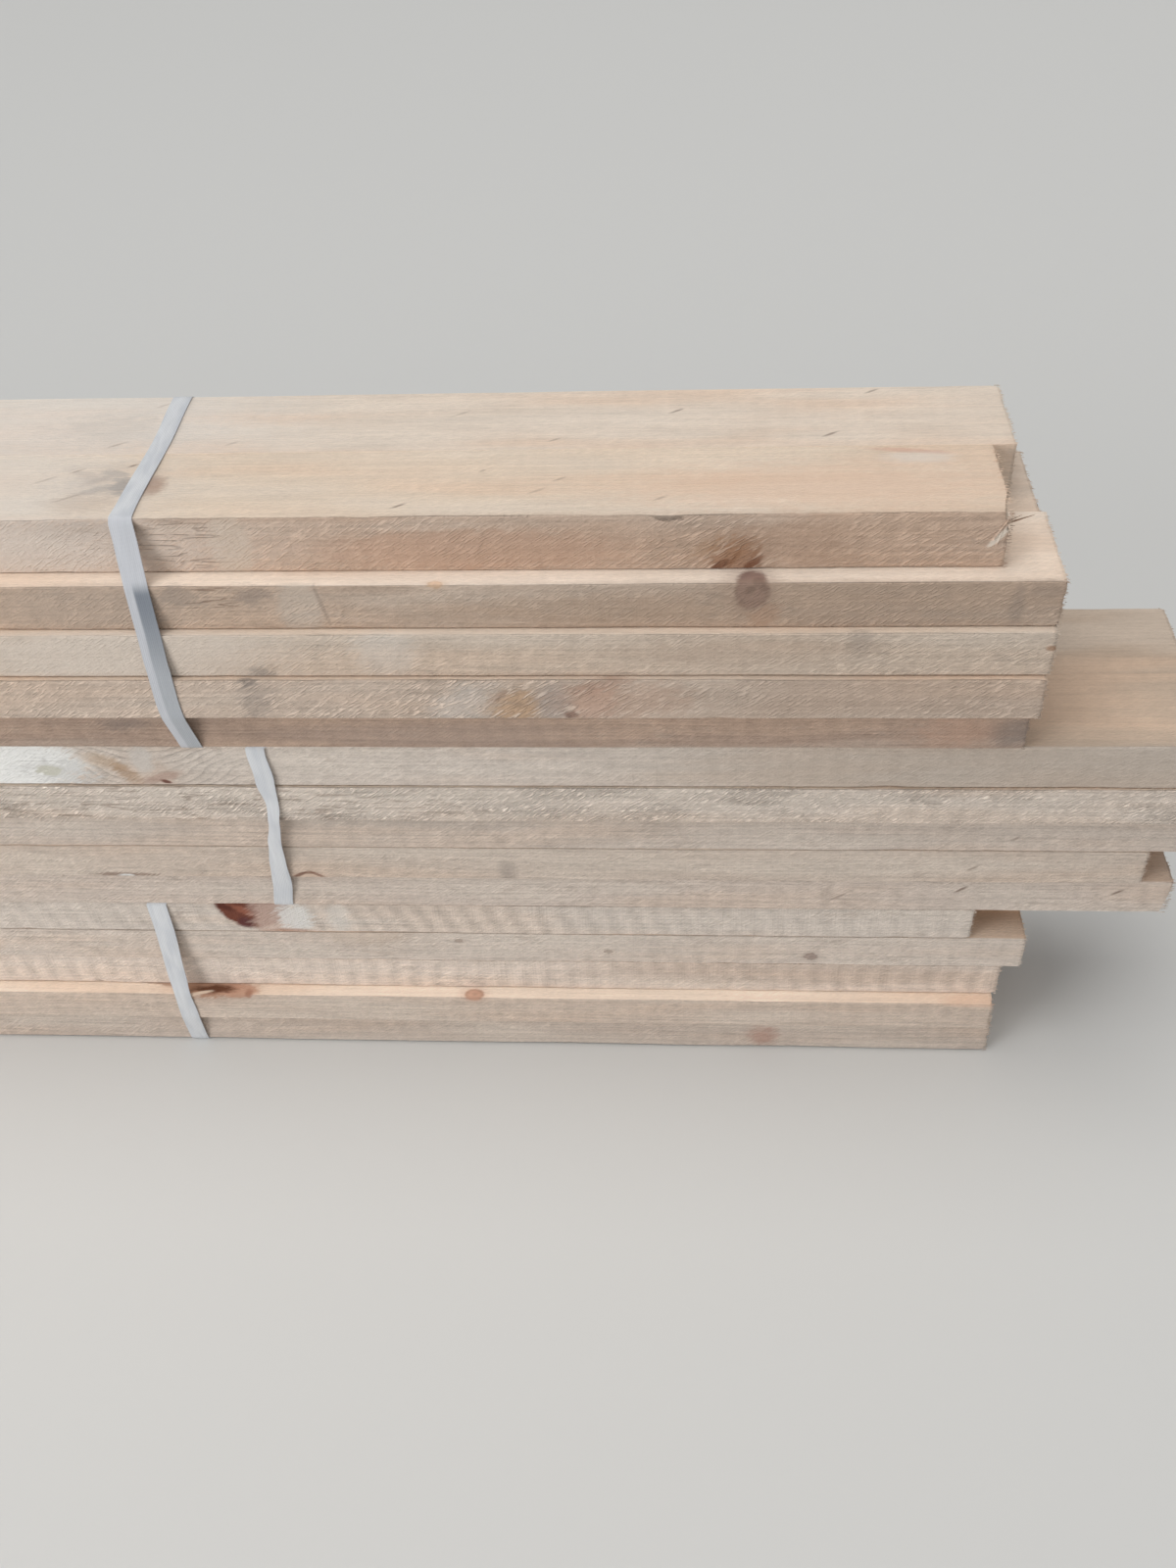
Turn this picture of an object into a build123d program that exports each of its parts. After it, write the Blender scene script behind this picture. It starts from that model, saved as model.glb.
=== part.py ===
from build123d import *
from dataclasses import dataclass
import os

# One stud, rough sawn from softwood
stud_width = 50.0
stud_thickness = 22.0
stud_length = 1800.0
arris = 0.5                  # width of the worn flat along each long edge

# Plastic strapping that holds ten studs together
strap_width = 10.0
strap_thickness = 0.7
weld_length = 28.0           # stretch where the two strap ends overlap and are welded

# Straps' places, from the nominal end of their bundle
bottom_right_inset = 423.0
bottom_left_inset = 402.0
middle_right_inset = 422.0
middle_left_inset = 391.0
top_right_inset = 368.5
top_left_inset = 384.0

# The corner that is torn off the front stud of the top layer, at its right end
torn_along = 5.0             # along the top front edge
torn_across = 21.0           # along the top edge of the end
torn_down = 12.0             # down the front edge of the end


@dataclass
class Layer:
    """Two studs side by side, as they were stacked by hand."""
    extra: float             # sawn thicker (+) or thinner (-) than ordered
    proud: float             # stands out from the front of its bundle
    front_end: float         # front stud pushed along the pile
    back_end: float          # back stud pushed along the pile
    lean: float = 0.0        # front stud's right end cut out of square, top to bottom


@dataclass
class Bundle:
    """Five layers with two straps round them."""
    name: str
    shift: float             # middle of the bundle along the pile
    layers: list             # lowest first
    right_inset: float       # right strap, from the bundle's nominal right end
    left_inset: float        # left strap, from its nominal left end
    right_lean: float        # top of the right strap further right (+) than its foot
    left_lean: float


bundles = [
    Bundle("bottom", -31.0, [
        Layer(0.0, 0.0, 0.0, -6.0),
        Layer(-2.2, 3.2, -2.0, 3.0),
        Layer(0.0, -4.1, 0.0, -9.0),
        Layer(-0.2, -3.2, 9.0, 5.0),
        Layer(-0.5, -2.8, -19.0, -24.0),
    ], bottom_right_inset, bottom_left_inset, right_lean=-1.0, left_lean=3.0),
    Bundle("middle", 39.0, [
        Layer(-0.7, -1.2, 0.0, -4.0, lean=3.0),
        Layer(-0.6, 0.4, -16.0, -21.0),
        Layer(-0.7, 0.6, 6.0, -5.0),
        Layer(-0.5, 4.5, 10.0, 3.0),
        Layer(2.6, 3.6, 1.0, -2.5),
    ], middle_right_inset, middle_left_inset, right_lean=8.0, left_lean=-4.0),
    Bundle("top", -42.0, [
        Layer(-1.3, 6.1, -3.5, -8.0),
        Layer(-0.6, 10.8, -1.0, -7.0),
        Layer(-0.1, 8.5, 0.0, -5.0),
        Layer(-0.2, 4.5, 0.5, -2.0),
        Layer(4.0, -5.3, -22.5, -13.5),
    ], top_right_inset, top_left_inset, right_lean=-8.0, left_lean=5.0),
]


# Places that follow from the sizes above

def layer_height(layer):
    return stud_thickness + layer.extra


def bundle_height(bundle):
    return sum(layer_height(layer) for layer in bundle.layers)


def bundle_foot(bundle):
    """Each bundle lies on its own straps, so a strap's thickness parts it from what is below."""
    below = bundles[:bundles.index(bundle)]
    return strap_thickness + sum(bundle_height(lower) + strap_thickness for lower in below)


def reach_behind(bundle):
    """How far the strap stands out behind a bundle that is two studs deep."""
    middle_layer = bundle.layers[len(bundle.layers) // 2]
    at_weld = 2 * strap_thickness - middle_layer.proud
    elsewhere = strap_thickness - min(layer.proud for layer in bundle.layers)
    return max(at_weld, elsewhere)


proudest = max(layer.proud for bundle in bundles for layer in bundle.layers)
pile_front = -proudest - strap_thickness
pile_back = 2 * stud_width + max(reach_behind(bundle) for bundle in bundles)
front_plane = -(pile_front + pile_back) / 2          # face of a layer that is not proud

stud_shifts = [bundle.shift + end for bundle in bundles for layer in bundle.layers
               for end in (layer.front_end, layer.back_end)]
pile_middle = (max(stud_shifts) + min(stud_shifts)) / 2


def layer_foot(bundle, layer):
    below = bundle.layers[:bundle.layers.index(layer)]
    return bundle_foot(bundle) + sum(layer_height(lower) for lower in below)


def layer_front(layer):
    return front_plane - layer.proud


def stud_middle(bundle, end):
    """Middle of a stud along the pile, measured from the middle of the whole pile."""
    return bundle.shift + end - pile_middle


def draw_stud_section(front, foot, height):
    """One sawn section with its worn arrises, drawn in the sketch that is open."""
    with Locations((front + stud_width / 2, foot + height / 2)):
        section = Rectangle(stud_width, height)
    chamfer(section.vertices(), arris)


def make_stud(front, foot, height, middle, lean=0.0):
    """A stud lying along X. A lean draws the foot of its right end back by that much."""
    start = middle - stud_length / 2
    end = middle + stud_length / 2
    with BuildPart() as stud:
        with BuildSketch(Plane.YZ.offset(start)):
            draw_stud_section(front, foot, height)
        extrude(amount=stud_length)
        if lean:
            saw = Plane(origin=(end, front, foot + height), z_dir=(height, 0, -lean))
            split(bisect_by=saw, keep=Keep.BOTTOM)
    return stud


def tear_corner(stud, front, foot, height, middle):
    """Tear the top front corner off the right end, along a plane through three points."""
    end = middle + stud_length / 2
    top = foot + height
    tear = Plane(
        origin=(end - torn_along, front, top),
        z_dir=(1 / torn_along, -1 / torn_across, 1 / torn_down),
    )
    with BuildPart() as torn:
        add(stud.part)
        split(bisect_by=tear, keep=Keep.BOTTOM)
    return torn


def make_strap(bundle, centre, lean):
    """A closed flat band pulled tight round the bundle, its ends welded at the back."""
    foot = bundle_foot(bundle)
    height = bundle_height(bundle)
    middle_height = foot + height / 2
    with BuildSketch() as inside:
        for layer in bundle.layers:
            draw_stud_section(layer_front(layer), layer_foot(bundle, layer), layer_height(layer))
            draw_stud_section(layer_front(layer) + stud_width, layer_foot(bundle, layer), layer_height(layer))
        make_hull(inside.sketch.edges())
    with BuildSketch() as weld:
        add(inside.sketch)
        offset(amount=2 * strap_thickness)
        with Locations((front_plane + 2 * stud_width, middle_height)):
            Rectangle(stud_width, weld_length, mode=Mode.INTERSECT)
    with BuildSketch() as band:
        add(inside.sketch)
        offset(amount=strap_thickness)
        add(weld.sketch)
        add(inside.sketch, mode=Mode.SUBTRACT)
    # The band is drawn out wide, then trimmed to its width by two leaning cuts
    with BuildPart() as strap:
        with BuildSketch(Plane.YZ.offset(centre)):
            add(band.sketch)
        extrude(amount=strap_width + abs(lean), both=True)
        for side in (-1, 1):
            edge = Plane(
                origin=(centre + side * strap_width / 2, 0, middle_height),
                z_dir=(side * height, 0, -side * lean),
            )
            split(bisect_by=edge, keep=Keep.BOTTOM)
    return strap


os.makedirs("parts", exist_ok=True)


def save(piece, name):
    piece.part.label = name
    export_step(piece.part, f"parts/{name}.step")


for bundle in bundles:
    for number, layer in enumerate(bundle.layers, start=1):
        foot = layer_foot(bundle, layer)
        height = layer_height(layer)
        front = layer_front(layer)
        front_middle = stud_middle(bundle, layer.front_end)
        back_middle = stud_middle(bundle, layer.back_end)
        front_stud = make_stud(front, foot, height, front_middle, layer.lean)
        back_stud = make_stud(front + stud_width, foot, height, back_middle)
        if bundle is bundles[-1] and layer is bundle.layers[-1]:
            front_stud = tear_corner(front_stud, front, foot, height, front_middle)
        save(front_stud, f"{bundle.name}_layer{number}_front_stud")
        save(back_stud, f"{bundle.name}_layer{number}_back_stud")
    right_strap_middle = stud_middle(bundle, 0) + stud_length / 2 - bundle.right_inset
    left_strap_middle = stud_middle(bundle, 0) - stud_length / 2 + bundle.left_inset
    save(make_strap(bundle, right_strap_middle, bundle.right_lean), f"{bundle.name}_right_strap")
    save(make_strap(bundle, left_strap_middle, bundle.left_lean), f"{bundle.name}_left_strap")
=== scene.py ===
# %% [markdown]
# # A pile of sawn pine battens
# Three bundles of rough sawn battens lie on one another, each held by flat plastic straps.
# The imported model gives every stud and strap at its real size and place, in metres. It is
# loaded first, and everything below is built round it. The box of the model is kept, so that
# no ragged end or splinter reaches past it.

# %% Load the frame
import dataclasses
import math
import random
from dataclasses import dataclass

import bmesh
import bpy
from mathutils import Matrix, Vector, geometry, noise


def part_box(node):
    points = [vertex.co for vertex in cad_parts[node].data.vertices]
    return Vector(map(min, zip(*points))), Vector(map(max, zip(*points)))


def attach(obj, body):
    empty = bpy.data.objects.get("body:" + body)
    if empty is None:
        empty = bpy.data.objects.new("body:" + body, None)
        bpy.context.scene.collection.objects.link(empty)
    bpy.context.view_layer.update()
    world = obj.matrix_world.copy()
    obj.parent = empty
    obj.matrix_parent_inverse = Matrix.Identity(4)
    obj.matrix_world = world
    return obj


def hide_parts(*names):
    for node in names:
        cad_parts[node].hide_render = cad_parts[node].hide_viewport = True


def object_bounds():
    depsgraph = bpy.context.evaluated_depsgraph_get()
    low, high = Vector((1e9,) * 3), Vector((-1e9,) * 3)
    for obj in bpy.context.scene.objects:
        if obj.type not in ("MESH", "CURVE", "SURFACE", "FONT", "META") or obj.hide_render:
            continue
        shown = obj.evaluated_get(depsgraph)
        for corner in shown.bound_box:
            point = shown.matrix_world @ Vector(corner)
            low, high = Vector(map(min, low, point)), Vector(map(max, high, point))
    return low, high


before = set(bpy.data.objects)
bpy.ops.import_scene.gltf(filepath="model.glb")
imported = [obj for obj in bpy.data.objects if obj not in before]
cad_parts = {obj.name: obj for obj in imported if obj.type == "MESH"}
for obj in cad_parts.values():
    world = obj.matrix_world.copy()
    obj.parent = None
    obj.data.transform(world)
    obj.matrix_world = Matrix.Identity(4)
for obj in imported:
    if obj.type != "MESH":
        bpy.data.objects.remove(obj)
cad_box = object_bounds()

mm = 0.001
stud_names = sorted(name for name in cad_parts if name.endswith("_stud"))
strap_names = sorted(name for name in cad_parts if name.endswith("_strap"))
print(len(stud_names), "studs and", len(strap_names), "straps")

# %% [markdown]
# ## The camera
# The pile was seen from close by, 0.65 m above the ground and in front of its right end, so its
# left part runs out of the picture. A camera could be placed by eye and turned until the
# picture looks right. Here its place and three turns were measured: it looks down steeply, a
# little to the left, and it is rolled by a few degrees. A matrix with the camera's own right,
# up and backward directions as its columns says all of this without any guesswork about the
# order of turns.

# %% Place the camera
eye = Vector((717.8, -534.0, 645.3)) * mm
turned_left = math.radians(5.18)
looking_down = math.radians(42.81)
rolled = math.radians(-3.33)
lens_millimetres = 33.87
sensor_millimetres = 36.0

level_right = Vector((math.cos(turned_left), math.sin(turned_left), 0))
level_ahead = Vector((-math.sin(turned_left), math.cos(turned_left), 0))
ahead = level_ahead * math.cos(looking_down) - Vector((0, 0, math.sin(looking_down)))
level_up = level_right.cross(ahead)
right = level_right * math.cos(rolled) + level_up * math.sin(rolled)
up = level_up * math.cos(rolled) - level_right * math.sin(rolled)

camera_data = bpy.data.cameras.new("photo_camera")
camera_data.lens = lens_millimetres
camera_data.sensor_width = sensor_millimetres
camera_data.clip_start = 10 * mm
camera = bpy.data.objects.new("photo_camera", camera_data)
camera.matrix_world = Matrix((right, up, -ahead)).transposed().to_4x4()
camera.matrix_world.translation = eye
bpy.context.scene.collection.objects.link(camera)
bpy.context.scene.camera = camera
bpy.context.scene.view_settings.view_transform = "Standard"
print("camera looks along", [round(part, 3) for part in ahead])

# %% [markdown]
# ## Light
# The pile was in open shade: light came from the whole sky, most of it from above and from
# the left, so the tops are clearly brighter than the fronts and shadows have no hard edge.
# Lamps of a few metres could imitate this. A very wide sun is simpler, because it lights the
# whole length of the pile evenly, and a plain world fills in the shadows. A square lamp in
# front, far to the left, makes the fronts a little paler towards the left. Its narrow spread,
# like a grid on a softbox, keeps it from making a bright pool on the floor.

# %% Set up the light
sky_level = 0.36
cool_sky = (0.97, 0.985, 1.0, 1.0)
sun_level = 1.42
warm_sun = (1.0, 0.985, 0.965)
sun_softness = math.radians(50)
sun_direction = Vector((0.22, 0.08, -1.0))
window_place = Vector((-1500, -1700, 900)) * mm
window_aim = Vector((300, -50, 150)) * mm
window_size = 1500 * mm
window_spread = math.radians(70)
window_watts = 6.3

sun_data = bpy.data.lights.new("open_sky", "SUN")
sun_data.energy = sun_level
sun_data.angle = sun_softness
sun_data.color = warm_sun
sun = bpy.data.objects.new("open_sky", sun_data)
sun.rotation_euler = sun_direction.to_track_quat("-Z", "Y").to_euler()
bpy.context.scene.collection.objects.link(sun)

window_data = bpy.data.lights.new("window", "AREA")
window_data.energy = window_watts
window_data.size = window_size
window_data.spread = window_spread
window = bpy.data.objects.new("window", window_data)
window.rotation_euler = (window_aim - window_place).to_track_quat("-Z", "Y").to_euler()
window.location = window_place
bpy.context.scene.collection.objects.link(window)

world = bpy.data.worlds.new("studio")
bpy.context.scene.world = world
world.use_nodes = True
background = world.node_tree.nodes["Background"]
background.inputs["Color"].default_value = cool_sky
background.inputs["Strength"].default_value = sky_level
print("sky", sky_level, "sun", sun_level, "window", window_watts)

# %% [markdown]
# ## Shader maths
# A wood shader is mostly arithmetic: distances from the heart of the tree, rings, masks. One
# Math node after another could be linked by hand, which is hard to read. A small class that
# wraps an output socket lets the same network be written as Python expressions: adding two
# fields adds a Math node. Every other kind of node comes from its method add.


# %% A socket that can be calculated with
class Field:
    """An output socket: a value, colour or vector that varies over a surface."""

    def __init__(self, socket):
        self.socket = socket

    @classmethod
    def add(cls, tree, kind, settings, inputs, output=0):
        node = tree.nodes.new(kind)
        for name, value in settings.items():
            setattr(node, name, value)
        for name, value in inputs.items():
            if isinstance(value, Field):
                tree.links.new(value.socket, node.inputs[name])
            else:
                node.inputs[name].default_value = value
        return cls(node.outputs[output])

    def next(self, kind, settings, inputs, output=0):
        return Field.add(self.socket.id_data, kind, settings, inputs, output)

    def math(self, operation, *values):
        return self.next("ShaderNodeMath", {"operation": operation}, dict(enumerate(values)))

    def take(self, operation):
        """What a Math node makes of this field alone, such as its sine or square root."""
        return self.math(operation, self)

    def vector(self, operation, *values, output=0):
        inputs = dict(enumerate(values))
        return self.next("ShaderNodeVectorMath", {"operation": operation}, inputs, output)

    def stretch(self, *sizes):
        return self.vector("DIVIDE", self, sizes)

    def part(self, axis):
        """The x, y or z of a vector: axis is 0, 1 or 2."""
        return self.next("ShaderNodeSeparateXYZ", {}, {0: self}, axis)

    def __add__(self, other):
        return self.math("ADD", self, other)

    def __radd__(self, other):
        return self.math("ADD", other, self)

    def __sub__(self, other):
        return self.math("SUBTRACT", self, other)

    def __rsub__(self, other):
        return self.math("SUBTRACT", other, self)

    def __mul__(self, other):
        return self.math("MULTIPLY", self, other)

    def __rmul__(self, other):
        return self.math("MULTIPLY", other, self)

    def __truediv__(self, other):
        return self.math("DIVIDE", self, other)

    def __rtruediv__(self, other):
        return self.math("DIVIDE", other, self)

    def __pow__(self, other):
        return self.math("POWER", self, other)


# %% [markdown]
# A few more words are used again and again: a fade between two values, a mix of two colours,
# noise that is stretched along the grain, and a soft spot round a point.


# %% Words for shaders
def fade(field, start, end):
    """0 where the field is at start, 1 where it is at end, with a smooth passage."""
    settings = {"interpolation_type": "SMOOTHSTEP"}
    ends = (start, end, 0.0, 1.0) if start < end else (end, start, 1.0, 0.0)
    inputs = {"Value": field, **dict(enumerate(ends, start=1))}
    return field.next("ShaderNodeMapRange", settings, inputs)


def mix(factor, first, second):
    """One colour where the factor is 0, the other where it is 1."""
    tree = next(item for item in (factor, first, second) if isinstance(item, Field)).socket.id_data
    inputs = {0: factor, 6: first, 7: second}
    return Field.add(tree, "ShaderNodeMix", {"data_type": "RGBA", "clamp_factor": True}, inputs, 2)


def tint(colour, amount):
    """A colour made lighter or darker: amount is 1 where it stays as it is."""
    grey = amount.next("ShaderNodeCombineColor", {}, {0: amount, 1: amount, 2: amount})
    settings = {"data_type": "RGBA", "blend_type": "MULTIPLY"}
    return amount.next("ShaderNodeMix", settings, {0: 1.0, 6: colour, 7: grey}, 2)


def stretched_noise(place, grain, detail=2.0, roughness=0.5, shift=0.0):
    """Noise whose lumps measure about grain = (x, y, z) millimetres. Its mean is 0.5."""
    cells = place.stretch(*grain)
    moved = place.vector("ADD", cells, (shift, shift * 0.37, shift * 0.71))
    inputs = {"Vector": moved, "Scale": 1.0, "Detail": detail, "Roughness": roughness}
    return place.next("ShaderNodeTexNoise", {"noise_dimensions": "3D"}, inputs)


def blend(factor, first, second):
    """One vector where the factor is 0, the other where it is 1."""
    return factor.next("ShaderNodeMix", {"data_type": "VECTOR"}, {0: factor, 4: first, 5: second}, 1)


def reach_from(place, centre, size, tilt=0.0, on_top=False):
    """Distance from a centre, where 1 is the surface of an ellipsoid of that size and tilt.
    On a top face the tilt turns it about the upright, elsewhere about the depth."""
    offset = place.vector("SUBTRACT", place, centre)
    if tilt:
        kind = {"rotation_type": "Z_AXIS" if on_top else "Y_AXIS"}
        turn = {"Vector": offset, "Angle": math.radians(-tilt if on_top else tilt)}
        offset = place.next("ShaderNodeVectorRotate", kind, turn)
    scaled = offset.stretch(*size)
    return place.vector("LENGTH", scaled, output=1)


def display(red, green, blue):
    """A colour as a screen shows it, 0 to 255, turned into the shader's linear values."""
    def linear(level):
        share = level / 255
        return share / 12.92 if share <= 0.04045 else ((share + 0.055) / 1.055) ** 2.4
    return (linear(red), linear(green), linear(blue), 1.0)


# %% [markdown]
# ## The floor
# A plain pale sheet, much larger than the pile. It isn't part of the object.

# %% Lay the floor
floor_half = 6.0


def plain_material(name, colour, roughness):
    material = bpy.data.materials.new(name)
    material.use_nodes = True
    shader = material.node_tree.nodes["Principled BSDF"]
    shader.inputs["Base Color"].default_value = colour
    shader.inputs["Roughness"].default_value = roughness
    return material


floor_mesh = bmesh.new()
bmesh.ops.create_grid(floor_mesh, x_segments=1, y_segments=1, size=floor_half)
floor_data = bpy.data.meshes.new("floor")
floor_mesh.to_mesh(floor_data)
floor_mesh.free()
floor_data.materials.append(plain_material("pale_floor", display(214, 214, 212), 0.9))
floor = bpy.data.objects.new("floor", floor_data)
bpy.context.scene.collection.objects.link(floor)
print("floor", 2 * floor_half, "m square")

# %% [markdown]
# ## What each stud looks like
# The studs were cut from different logs and lay outside for different times, so no two have
# the same colour. A few tones and broad spots are also painted light and shade: where a part of
# the pile lay in shade or caught more light, its colour is painted darker or paler, as noted
# where each stands. A look holds what can be seen of one stud: the tone of its narrow sides,
# which have greyed, and of its wide faces, how fuzzy the saw left it, how strong the saw's
# cross marks are and how much they slant, the width of its year rings, its knots, its stains
# and painted light, and patches where fibres stand up or cracks run. All places are
# millimetres from the stud's right end, its front face and its foot, and colours are as a
# screen shows them, 0 to 255.

# %% Describe knots, stains, painted light and looks
grey_mould = (126, 118, 114)
knot_brown = (150, 104, 74)
knot_purple = (122, 92, 84)
rosy = (206, 164, 140)
chalky = (232, 230, 226)
tan_stain = (186, 152, 122)


@dataclass
class Knot:
    """A branch that was sawn through. The grain parts round it by some millimetres, or is pulled
    down to it, and a feathered knot has torn edges."""
    place: tuple
    size: tuple
    colour: tuple = knot_brown
    bend: float = 5.0
    strength: float = 0.8
    feather: float = 0.9
    pull: float = 0.0


@dataclass
class StainOrPaintedLight:
    """A spot of another colour, soft or crisp, with its right end tilted up, or back on a top face. Most
    are real stains; some are painted light or shade, noted where they stand.
    """
    place: tuple
    size: tuple
    colour: tuple = grey_mould
    strength: float = 0.5
    ragged: float = 0.5
    soft: float = 0.35
    tilt: float = 0.0
    on_top: bool = False


@dataclass
class Look:
    """What can be seen of one stud."""
    side: tuple
    flat: tuple = (222, 204, 186)
    fuzz: float = 1.0
    marks: float = 1.0
    slant: float = 0.0
    rings: float = 2.4
    grain: float = 1.0
    knots: list = dataclasses.field(default_factory=list)
    stains_and_painted_light: list = dataclasses.field(default_factory=list)
    torn: tuple = ()
    cracked: tuple = ()


# %% [markdown]
# The marks that can be told apart on the pile are listed here, bundle by bundle. A fleck is a
# short dark stain, such as a scrap of bark or a spot of mould that lies along the grain.


# %% Words for small marks
def fleck(x, y, z, length=2.6, strength=0.5):
    """On a front face. Flecks lean like the fibres do."""
    return StainOrPaintedLight((x, y, z), (length, 1.0, 0.7), (120, 98, 84), strength, 0.8, 0.6, tilt=35)


def fleck_on_top(x, y, length=2.6, strength=0.4):
    return StainOrPaintedLight((x, y, 25), (length, 0.6, 4.0), (138, 118, 106), strength, 0.8, 0.7, 32, True)


def flecks_on_top(*rows):
    """Each row has x and y and, where they aren't the usual ones, length and strength."""
    return [fleck_on_top(*row) for row in rows]


def patch(x, z, length, height, strength=1.0):
    """A stretch of the front face where the saw left it rougher."""
    return StainOrPaintedLight((x, 0, z), (length / 2, 6, height / 2), strength=strength)


# %% [markdown]
# The top bundle is seen best. Its uppermost stud has a feathered knot at the foot of its front,
# grey mould and a faint knot beside the strap, and a torn corner. The stud below it has a
# round knot, dark at its rim and heart, and the next but one was left fuzzy round two knots.

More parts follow.
